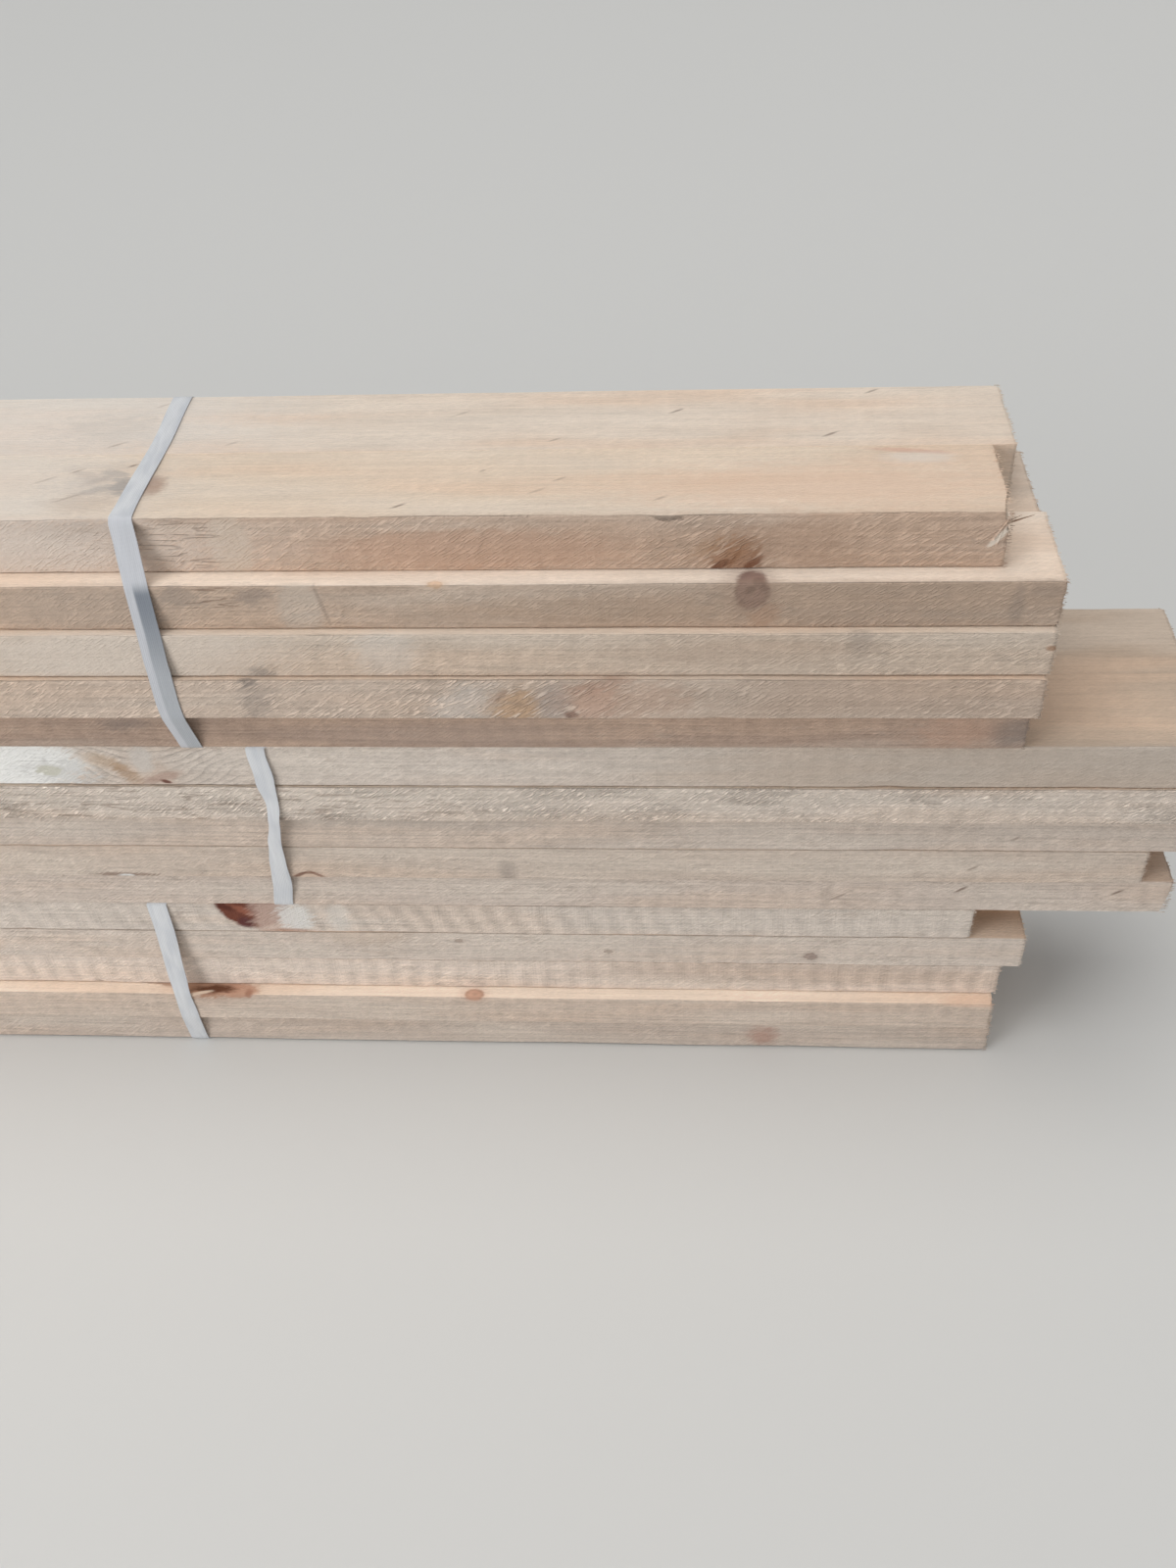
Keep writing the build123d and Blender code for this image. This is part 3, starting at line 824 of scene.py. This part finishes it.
def crack_field(place, grain, patches, seed):
    """Thin lines where a slow noise crosses its middle, broken up, in some patches only."""
    crossing = stretched_noise(place, (40, 3.2, 2.8), 1.0, 0.5, seed * 2.9) - 0.5
    lines = fade(crossing.take("ABSOLUTE"), 0.035, 0.010) * fade(grain.mottle, 0.38, 0.48)
    return lines * patch_field(place, patches)


# %% [markdown]
# All of this meets in one function, which makes the material of one stud. Its place is counted
# in millimetres from the stud's right end, front and foot, as the looks are.

# %% Make a pine material
def pine(name, look, seed):
    low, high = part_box(name)
    material = bpy.data.materials.new(name.replace("_stud", "_pine"))
    material.use_nodes = True
    tree = material.node_tree
    shader = tree.nodes["Principled BSDF"]
    here = Field.add(tree, "ShaderNodeTexCoord", {}, {}, "Object")
    corner = (-high.x / mm, -low.y / mm, -low.z / mm)
    in_millimetres = {"Vector": here, "Scale": (1 / mm,) * 3, "Location": corner}
    place = here.next("ShaderNodeMapping", {}, in_millimetres)
    parts = [place.part(axis) for axis in range(3)]

    on_side, on_end = zones(name, parts, (high.y - low.y) / mm, (high.x - low.x) / mm)
    grain = Grain(place, parts, on_side, look, seed)
    reaches, bend = knot_fields(place, parts[2], look.knots, grain.shaken)
    ring = ring_field(place, parts, look, random.Random(seed), seed, bend)
    near_knots = 1.0
    for knot, reach in zip(look.knots, reaches):
        near_knots = near_knots + fade(reach, 4.4, 1.8) * (0.5 + knot.pull * 0.2)

    colour = wood_colour(grain, look, ring, near_knots, on_side, on_end)
    relief = wood_relief(grain, on_side)
    if look.cracked:
        cracks = crack_field(place, grain, look.cracked, seed)
        colour = mix(cracks, colour, display(122, 94, 76))
        relief = relief - cracks * 0.4
    for knot, reach in zip(look.knots, reaches):
        colour = paint_knot(colour, reach, knot, grain.mottle)
    spots = grain.mottle * 0.6 + grain.shaken * 0.4
    for stain in look.stains_and_painted_light:
        colour = paint_stain_or_light(colour, place, stain, spots)

    bump = {"Height": relief, "Strength": 1.0, "Distance": 1 * mm}
    rough_face = relief.next("ShaderNodeBump", {}, bump)
    tree.links.new(colour.socket, shader.inputs["Base Color"])
    tree.links.new(rough_face.socket, shader.inputs["Normal"])
    shader.inputs["Roughness"].default_value = 0.85
    shader.inputs["Specular IOR Level"].default_value = 0.25
    return material


# %% [markdown]
# ## The studs
# A batten comes off the saw with slightly wavy faces, worn edges with small chips, and ends
# with torn fibres. A cube with a bevel would have the size but none of this. So each stud
# starts as a cube of the model's size, its long edges are bevelled, it is cut into short
# lengths, and then every vertex is pushed inwards a little by seeded noise. Only inwards,
# because the saw takes wood away and the size must hold.

# %% Cut a blank
arris = 0.6 * mm
sharp_arris = 0.08 * mm
slice_length = 4.0 * mm
wide_cells = 6
narrow_cells = 4
end_cuts = (0.8 * mm, 1.8 * mm)
ragged_depth = 0.9 * mm
longest_end_edge = 3.0 * mm


def edges_along(shape, axis):
    direction = Vector([1.0 if index == axis else 0.0 for index in range(3)])
    return [edge for edge in shape.edges
            if abs((edge.verts[1].co - edge.verts[0].co).normalized().dot(direction)) > 0.999]


def is_corner(point, side, low, high):
    near = 0.01 * mm
    return abs(point.y - side) < near and min(point.z - low.z, high.z - point.z) < near


def blank_stud(low, high, at_front):
    """A blank with bevelled arrises, cut into cells. Where two studs meet, the arris is sharp."""
    shape = bmesh.new()
    bmesh.ops.create_cube(shape, size=1.0)
    bmesh.ops.scale(shape, vec=high - low, verts=shape.verts)
    bmesh.ops.translate(shape, vec=(low + high) / 2, verts=shape.verts)
    for axis, cells in ((1, wide_cells), (2, narrow_cells)):
        along = edges_along(shape, axis)
        bmesh.ops.subdivide_edges(shape, edges=along, cuts=cells - 1, use_grid_fill=True)
    outer, inner = (low.y, high.y) if at_front else (high.y, low.y)
    for side, width in ((outer, arris), (inner, sharp_arris)):
        corners = [edge for edge in edges_along(shape, 0)
                   if all(is_corner(vertex.co, side, low, high) for vertex in edge.verts)]
        bmesh.ops.bevel(shape, geom=corners, offset=width, affect="EDGES", segments=1, profile=0.5,
                        material=-1)
    slices = round((high.x - low.x) / slice_length)
    along = edges_along(shape, 0)
    bmesh.ops.subdivide_edges(shape, edges=along, cuts=slices - 1, use_grid_fill=True)
    for end, inwards in ((low.x, 1), (high.x, -1)):
        for distance in end_cuts:
            cut = Vector((end + inwards * distance, 0, 0))
            near_end = [face for face in shape.faces
                        if abs(face.calc_center_median().x - end) < slice_length]
            around = list({item for face in near_end for item in (*face.verts, *face.edges, face)})
            bmesh.ops.bisect_plane(shape, geom=around, plane_co=cut, plane_no=(1, 0, 0))
        ragged = [edge for edge in shape.edges if edge.calc_length() > longest_end_edge
                  and all(abs(vertex.co.x - end) < ragged_depth for vertex in edge.verts)]
        bmesh.ops.subdivide_edges(shape, edges=ragged, cuts=2, use_grid_fill=True)
    return shape


# %% [markdown]
# Wear is a matter of where a vertex lies. On a face it sinks by a fraction of a millimetre, in
# slow waves and in the saw's washboard. On an arris it may lose a chip. At an end the cut is
# ragged and its corners are knocked off.


# %% Wear a stud
corner_reach = 1.2 * arris
end_wear = 2.5 * mm
on_face = 0.05 * mm


def waves(point, length, height, far):
    """Slow noise, longer along the stud than across it."""
    return noise.noise(Vector((point.x / length, point.y / height, point.z / height)) + far)


def wear(shape, low, high, seed, at_front):
    """Push every vertex inwards, never outwards, so that the stud keeps its size."""
    middle = (low + high) / 2
    inner = high.y if at_front else low.y
    far = Vector((seed * 3.1, seed * 1.7, seed * 0.9))
    for vertex in shape.verts:
        point = vertex.co.copy()
        side = min(point.y - low.y, high.y - point.y)
        flat = min(point.z - low.z, high.z - point.z)
        end = min(point.x - low.x, high.x - point.x)
        inwards = Vector((0, math.copysign(1, middle.y - point.y), math.copysign(1, middle.z - point.z)))
        slow = waves(point, 0.09, 0.03, far)
        quick = noise.noise(point / 0.006 + far)
        wave = 0.5 + 0.5 * math.sin(point.x * 2 * math.pi / (washboard_pitch * mm) + 3 * slow)
        hollow = (0.12 + 0.10 * slow + 0.06 * quick + 0.04 * wave) * mm
        near_arris = side < corner_reach and flat < corner_reach
        nearness = max(0.0, 1 - end / end_wear)
        if abs(point.y - inner) < corner_reach:
            side, hollow = (side, 0.0) if near_arris else (0.0, 0.5 * hollow)
            near_arris = False
        if near_arris:
            worn = max(0.0, waves(point, 0.07, 0.03, far * 3))
            chip = max(0.0, waves(point, 0.02, 0.01, far * 2) - 0.34)
            knocked = nearness * (0.5 + 0.7 * max(0.0, quick)) * mm
            loss = max(0.0, hollow) + worn * 0.5 * mm + chip * 1.1 * mm + knocked
            vertex.co += inwards * loss * 0.7
        elif side < on_face:
            vertex.co.y += inwards.y * (max(0.0, hollow) + nearness * 0.2 * mm)
        elif flat < on_face:
            vertex.co.z += inwards.z * (max(0.0, hollow) + nearness * 0.2 * mm)
        if end < on_face:
            torn = (0.35 + 0.25 * quick + 0.55 * noise.noise(point / 0.0023 + far)) * mm
            vertex.co.x += math.copysign(max(0.0, torn), middle.x - point.x)


# %% [markdown]
# ## Splinters
# A rough saw leaves fibres standing at the ends and on the fuzziest face. A particle system
# could grow thousands of hairs, but it would not be part of the mesh. A splinter is a thin
# cone with three sides, so even some thousands of them cost little.


# %% Grow splinters
past_the_end = 1.2 * mm
fibre_depth = 0.3 * mm
end_fibres = 90


def splinter(shape, root, tip, thickness):
    """A thin cone from root to tip."""
    course = tip - root
    turn = course.to_track_quat("Z", "Y").to_matrix().to_4x4()
    place = Matrix.Translation((root + tip) / 2) @ turn
    bmesh.ops.create_cone(shape, cap_ends=True, segments=3, radius1=thickness, radius2=thickness * 0.1,
                          depth=course.length, matrix=place)


def add_in(shape, others):
    """Put the faces of one bmesh into another."""
    carrier = bpy.data.meshes.new("carrier")
    others.to_mesh(carrier)
    others.free()
    shape.from_mesh(carrier)
    bpy.data.meshes.remove(carrier)


def fray_ends(shape, low, high, chance):
    """Torn fibres along the top and front edges of both ends. They never reach past the whole pile."""
    for end, outwards in ((low.x, -1), (high.x, 1)):
        pile_end = cad_box[1 if outwards > 0 else 0][0]
        room = min(past_the_end, abs(pile_end - end) - 0.1 * mm)
        for _ in range(end_fibres):
            share = chance.random()
            if chance.random() < 0.5:
                root = Vector((end, low.y + share * (high.y - low.y), high.z - fibre_depth))
            else:
                root = Vector((end, low.y + fibre_depth, low.z + share * (high.z - low.z)))
            reach = chance.uniform(0.8, 3.0) * mm
            root.x -= outwards * (reach - room * chance.random())
            sway = Vector((0, chance.uniform(-1, 1), chance.uniform(-1, 0.6))) * 0.3 * reach
            tip = root + Vector((outwards * reach, 0, 0)) + sway
            tip.y = max(low.y, tip.y)
            tip.z = min(max(tip.z, low.z), high.z)
            splinter(shape, root, tip, chance.uniform(0.12, 0.30) * mm)


def fuzz_front(shape, low, high, chance, count):
    """Fibres raised from the front face by a blunt saw."""
    for _ in range(count):
        x = chance.uniform(low.x + 5 * mm, high.x - 5 * mm)
        root = Vector((x, low.y + 0.25 * mm, chance.uniform(low.z + 1.5 * mm, high.z - 1.5 * mm)))
        reach = chance.uniform(1.0, 3.5) * mm
        course = Vector((1.0, -chance.uniform(0.15, 0.4), chance.uniform(-0.3, 0.5)))
        tip = root + course * reach
        splinter(shape, root, tip, chance.uniform(0.08, 0.16) * mm)


# %% [markdown]
# ## The torn corner
# The front stud on top has lost a corner of its right end. The model has the break as a plane.
# Here such a plane cuts the worn mesh, the new face is divided and roughed up, and pale
# splinters stand where the wood tore. The largest points away from the pile.

# %% Tear the corner
torn_along = 3.4 * mm
torn_across = 18.0 * mm
torn_down = 12.0 * mm
small_splinters = 14


def cut_off(shape, on_plane, normal):
    """Take away what lies past a plane, close the cut, and give its new faces."""
    everything = [*shape.verts, *shape.edges, *shape.faces]
    cut = bmesh.ops.bisect_plane(shape, geom=everything, plane_co=on_plane, plane_no=normal,
                                 clear_outer=True)
    rim = [item for item in cut["geom_cut"] if isinstance(item, bmesh.types.BMEdge)]
    filled = bmesh.ops.triangle_fill(shape, edges=rim, use_beauty=True)
    return {item for item in filled["geom"] if isinstance(item, bmesh.types.BMFace)}


def tear_corner(shape, splinters, low, high, chance):
    normal = Vector((1 / torn_along, -1 / torn_across, 1 / torn_down)).normalized()
    faces = cut_off(shape, Vector((high.x - torn_along, low.y, high.z)), normal)
    old = set(shape.verts)
    inner = [edge for edge in shape.edges
             if edge.link_faces and all(face in faces for face in edge.link_faces)]
    divided = bmesh.ops.subdivide_edges(shape, edges=inner, cuts=5, use_grid_fill=True)
    for vertex in shape.verts:
        if vertex not in old:
            vertex.co -= normal * (0.5 + 0.5 * noise.noise(vertex.co / 0.0015)) * mm
    print("the torn face was made rough with", len(divided["geom"]), "new verts, edges and faces")
    edge_top = Vector((high.x - 1.0 * mm, low.y + 0.1 * mm, high.z - 2.5 * mm))
    edge_foot = Vector((high.x - 7.0 * mm, low.y - 0.1 * mm, high.z - 13.0 * mm))
    splinter(splinters, edge_foot, edge_top, 0.7 * mm)
    beside = edge_foot + Vector((2, 0.3, -3)) * mm
    splinter(splinters, beside, edge_top + Vector((-1.5, 0.2, -2)) * mm, 0.45 * mm)
    sliver_root = Vector((high.x - 5.0 * mm, low.y + 0.8 * mm, high.z - 7.0 * mm))
    splinter(splinters, sliver_root, sliver_root + Vector((13.0, 0.6, 4.4)) * mm, 0.75 * mm)
    splinter(splinters, sliver_root, sliver_root + Vector((8.0, -0.5, 5.2)) * mm, 0.5 * mm)
    for _ in range(small_splinters):
        back = chance.random()
        start = Vector((high.x - torn_along * (1 - back) - 1.5 * mm, low.y + back * torn_across,
                        high.z - 0.5 * mm))
        along = chance.uniform(1.5, 3.2)
        across = chance.uniform(-0.8, 0.8)
        upwards = chance.uniform(-0.8, 0.3)
        tip = start + Vector((along, across, upwards)) * mm
        tip.x = min(tip.x, high.x)
        tip.z = min(tip.z, high.z)
        splinter(splinters, start, tip, chance.uniform(0.12, 0.3) * mm)


# %% [markdown]
# ## Finishing a stud
# A mesh gets soft shading on its faces and hard edges where they meet. A modifier could find
# the hard edges each time, but marking them once is all that is needed here.

# %% Finish a mesh
hard_from = math.radians(28)


def keep_inside(shape, box):
    """The ragged ends of the longest-reaching studs stop at the box of the whole pile."""
    for vertex in shape.verts:
        for axis in range(3):
            vertex.co[axis] = min(max(vertex.co[axis], box[0][axis]), box[1][axis])


def finish_mesh(shape, name, material):
    for face in shape.faces:
        face.smooth = True
    for edge in shape.edges:
        edge.smooth = len(edge.link_faces) == 2 and edge.calc_face_angle() < hard_from
    data = bpy.data.meshes.new(name)
    shape.to_mesh(data)
    shape.free()
    data.materials.append(material)
    piece = bpy.data.objects.new(name, data)
    bpy.context.scene.collection.objects.link(piece)
    return piece


def count_triangles(piece):
    return sum(len(polygon.vertices) - 2 for polygon in piece.data.polygons)


# %% [markdown]
# Now all studs are made in turn. One stud of the middle bundle has an end that was sawn out of
# square, and another has a face full of raised fibres. Each finished object stays at the
# origin, rides on the only body, and takes the place of the model's plain stud.

# %% Make all studs
lean_of_cut = 3.0 * mm
fuzz_count = 700
hidden_left_of = 395.0 * mm
triangles = 0
for seed, name in enumerate(stud_names, start=1):
    chance = random.Random(seed * 7)
    look = seen_looks.get(name) or hidden_look(chance)
    low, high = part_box(name)
    size = (high - low) / mm
    free_from = (hidden_left_of - high.x) / mm if name in seen_looks else -30
    add_hidden_marks(look, chance, size.x, size.y, size.z, free_from, "back" in name)
    at_front = "front" in name
    shape = blank_stud(low, high, at_front)
    wear(shape, low, high, seed, at_front)
    splinters = bmesh.new()
    fray_ends(splinters, low, high, chance)
    if name == "top_layer5_front_stud":
        tear_corner(shape, splinters, low, high, chance)
    if name == "middle_layer1_front_stud":
        cut_off(shape, high, Vector((high.z - low.z, 0, -lean_of_cut)))
    if name == "middle_layer4_front_stud":
        fuzz_front(splinters, low, high, chance, fuzz_count)
    add_in(shape, splinters)
    keep_inside(shape, cad_box)
    stud = finish_mesh(shape, "sawn_" + name, pine(name, look, seed))
    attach(stud, "root")
    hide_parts(name)
    triangles += count_triangles(stud)
print("studs shaped with", triangles, "triangles")

# %% [markdown]
# ## The straps
# A strap is a thin plastic band pulled tight round ten studs. In section it runs on the
# convex hull of the studs, bridging the layers that lie back, so the hull of the studs' corners
# gives its route. The band itself starts as a flat grid, long and narrow, whose UV map keeps
# the place along and across the band. Each vertex is then laid on the route. A curve with a
# flat bevel could do this too, but it can't be creased, slack and twisted in places.

# %% Lay out the straps
strap_width = 10.0 * mm
strap_thickness = 0.45 * mm
strap_lift = 0.08 * mm
overlap = 28.0 * mm
step_up = 4.0 * mm
weld_gap = 0.1 * mm
weld_relief = 0.05 * mm
crown = 0.06 * mm
near_edge = 0.3 * mm
weld_margin = 5.0 * mm
weld_pitch = 1.9 * mm
twist_lift = 2.0 * mm
bend_radius = 1.0 * mm
strap_step = 1.6 * mm
strap_cells = 8


def hull_route(bundle):
    """The closed line, in the plane across the pile, on which a strap lies."""
    points = []
    for name in stud_names:
        if name.startswith(bundle):
            low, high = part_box(name)
            for y, y_in in ((low.y, arris), (high.y, -arris)):
                for z, z_in in ((low.z, arris), (high.z, -arris)):
                    points += [Vector((y + y_in, z)), Vector((y, z + z_in))]
    return [points[index] for index in geometry.convex_hull_2d(points)]


class Route:
    """A closed line that can be asked for its point and outward direction at any length."""

    def __init__(self, corners):
        self.corners = corners
        self.lengths = [(corners[(index + 1) % len(corners)] - corner).length
                        for index, corner in enumerate(corners)]
        self.total = sum(self.lengths)

    def raw(self, length):
        length %= self.total
        for index, span in enumerate(self.lengths):
            if length <= span:
                following = self.corners[(index + 1) % len(self.corners)]
                return self.corners[index].lerp(following, length / span)
            length -= span
        return self.corners[0].copy()

    def at(self, length):
        before = self.raw(length - bend_radius)
        after = self.raw(length + bend_radius)
        course = (after - before).normalized()
        return (before + after + 2 * self.raw(length)) / 4, Vector((course.y, -course.x))

    def nearest(self, y, z):
        """How far along the line the point nearest to a place is."""
        steps = 400
        return min((self.total * step / steps for step in range(steps)),
                   key=lambda length: (self.raw(length) - Vector((y, z))).length)


# %% [markdown]
# How a strap departs from the tight, straight band is different for each: the middle one is a
# bit slack, so it curves and twists on the front of the pile, the bottom one narrows where it
# is twisted over a ledge, and the top one wanders a little and narrows on the top of the pile;
# its crease is painted, not shaped.

# %% Note where the straps wander
up_the_front = {
    "middle_right_strap": [(108.5, -2.3, 0.95), (127.0, -0.8, 0.95), (141.0, -0.9, 0.82),
                           (156.0, -0.4, 0.66), (171.0, 1.3, 0.54), (182.0, 2.1, 0.6),
                           (198.0, 0.0, 0.88), (216.0, -2.4, 0.86)],
    "bottom_right_strap": [(0.7, -2.0, 0.94), (28.0, -1.2, 0.96), (44.0, -1.2, 0.86), (56.0, -1.1, 0.94),
                           (89.0, -0.4, 1.0), (107.8, -0.8, 1.0)],
    "top_right_strap": [(219.3, -2.2, 0.96), (245.0, -3.0, 1.0), (267.0, -1.6, 1.0), (286.0, -0.6, 1.0),
                        (305.0, -0.3, 1.0), (320.0, -0.7, 1.0), (331.0, -1.2, 1.0)],
}
over_the_top = {
    "top_right_strap": [(-48.0, -1.2, 1.0), (-30.0, -1.0, 0.86), (20.0, 0.4, 0.8), (50.0, -0.4, 0.84)],
}


def between(rows, height):
    """Offset and width share at a height or depth, read from rows of (place, offset, share)."""
    if not rows:
        return 0.0, 1.0
    if height <= rows[0][0]:
        return rows[0][1:]
    for first, second in zip(rows, rows[1:]):
        if height <= second[0]:
            share = (height - first[0]) / (second[0] - first[0])
            share = share * share * (3 - 2 * share)
            return tuple(a + (b - a) * share for a, b in zip(first[1:], second[1:]))
    return rows[-1][1:]


# %% [markdown]
# The model's own band says where along the pile a strap has its foot and its top. From there
# each vertex of the grid is moved: along the pile by the strap's lean and wander, and outwards
# by its crown, its twist and, at the back, the thickness of the end that lies underneath.

# %% Lay a strap
def strap_line(name):
    """Where the middle of a strap is at its foot and at its top, from the model's band."""
    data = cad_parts[name].data
    low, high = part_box(name)
    foot = [vertex.co.x for vertex in data.vertices if vertex.co.z < low.z + near_edge]
    top = [vertex.co.x for vertex in data.vertices if vertex.co.z > high.z - near_edge]
    return (min(foot) + max(foot)) / 2, (min(top) + max(top)) / 2


def lay_strap(name):
    bundle = name.split("_")[0]
    low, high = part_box(name)
    at_foot, at_top = strap_line(name)
    route = Route(hull_route(bundle))
    start = route.nearest(high.y, (low.z + high.z) / 2) - overlap / 2
    whole = route.total + overlap
    band = bmesh.new()
    bmesh.ops.create_grid(band, x_segments=round(whole / strap_step), y_segments=strap_cells, size=0.5)
    uv = band.loops.layers.uv.new("UVMap")
    for face in band.faces:
        for loop in face.loops:
            loop[uv].uv = (loop.vert.co.x + 0.5, loop.vert.co.y + 0.5)
    for vertex in band.verts:
        length = (vertex.co.x + 0.5) * whole
        across = vertex.co.y
        point, outward = route.at(start + length)
        height = point.y
        on_top = high.z - height < 2 * mm
        if on_top:
            shift, share = between(over_the_top.get(name, ()), point.x / mm)
        else:
            shift, share = between(up_the_front.get(name, ()) if point.x < 0 else (), height / mm)
        centre = at_foot + (at_top - at_foot) * (height - low.z) / (high.z - low.z) + shift * mm
        over = max(0.0, min(1.0, (length - route.total + step_up) / step_up))
        lift = strap_lift + over * (strap_thickness + weld_gap)
        lift += crown * math.cos(across * 2 * math.pi)
        if not on_top:
            clear = min(1.0, max(0.0, height - low.z - 2 * mm) / (8 * mm))
            lift += clear * (1 - share) * twist_lift * (across + 0.5)
        if route.total + weld_margin < length < whole - weld_margin:
            lift += weld_relief * math.sin(length * 2 * math.pi / weld_pitch)
        x = centre + across * strap_width * share
        vertex.co = Vector((x, point.x + outward.x * lift, point.y + outward.y * lift))
    return band


# %% [markdown]
# ## The strap's plastic
# Polypropylene strap is milky and slightly glossy, with fine ribs along it. Every strap is
# painted a little bluish grey towards its right edge, which is painted shade. The top strap is
# creased lengthwise on the front. There it is painted a little darker, and below the second
# stud's top edge the part beyond the crease is painted dark grey: painted shade, where that
# part stands away from the wood and is turned from the light. The UV map says how far across
# the band a point is, so the ribs and the painted shade follow it.


# %% Make the plastic
rib_phase = 75  # radians from edge to edge of the band, about twelve ribs


def strap_plastic(name):
    low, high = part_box(name)
    front, top = low.y / mm, high.z / mm
    material = bpy.data.materials.new(name + "_plastic")
    material.use_nodes = True
    tree = material.node_tree
    shader = tree.nodes["Principled BSDF"]
    uv = Field.add(tree, "ShaderNodeUVMap", {"uv_map": "UVMap"}, {})
    across = uv.part(1)
    here = Field.add(tree, "ShaderNodeTexCoord", {}, {}, "Object")
    place = here.next("ShaderNodeMapping", {}, {"Vector": here, "Scale": (1 / mm,) * 3})
    height = place.part(2)
    depth = place.part(1)
    ribs = (across * rib_phase).take("SINE")
    scuffs = stretched_noise(place, (1.5, 8, 18), 3.0, 0.6, 4.0)
    cloud = stretched_noise(place, (5, 20, 20), 2.0, 0.5, 9.0)
    colour = mix(fade(cloud, 0.35, 0.7), display(219, 221, 224), display(206, 209, 214))
    # Painted shade: every strap is painted a little bluish grey towards its right edge, so its left edge
    # looks lit and its right edge shaded.
    colour = mix(fade(across, 0.75, 1.0) * 0.25, colour, display(176, 182, 192))
    if name == "top_right_strap":
        # Painted shade: on the front the top strap is painted a little darker, and below the second
        # stud's edge the part beyond the crease is painted dark grey, darkest just below that edge.
        on_front = fade(depth, front + 20.75, front + 16.75)
        below_edge = fade(height, top - 23.8, top - 30.8)
        beyond_crease = fade(across, 0.30, 0.42)
        colour = mix(on_front * 0.8, colour, display(194, 196, 202))
        upper = fade(height, top - 76.8, top - 31.8)
        crease_shade = mix(upper, display(176, 180, 185), display(122, 129, 139))
        colour = mix(on_front * below_edge * beyond_crease * 0.92, colour, crease_shade)
    colour = tint(colour, 1.0 + ribs * 0.02 + (scuffs - 0.5) * 0.22)
    relief = ribs * 0.03 + scuffs * 0.05
    bump = relief.next("ShaderNodeBump", {}, {"Height": relief, "Strength": 0.7, "Distance": 1 * mm})
    gloss = 0.42 + (scuffs - 0.5) * 0.2
    tree.links.new(colour.socket, shader.inputs["Base Color"])
    tree.links.new(gloss.socket, shader.inputs["Roughness"])
    tree.links.new(bump.socket, shader.inputs["Normal"])
    shader.inputs["Specular IOR Level"].default_value = 0.4
    return material


for name in strap_names:
    band = finish_mesh(lay_strap(name), "laid_" + name, strap_plastic(name))
    wall = band.modifiers.new("wall", "SOLIDIFY")
    wall.thickness = strap_thickness
    wall.offset = 1.0
    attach(band, "root")
    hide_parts(name)
    triangles += 4 * len(band.data.polygons)  # the wall gives each face a second one
print("with the straps", triangles, "triangles")
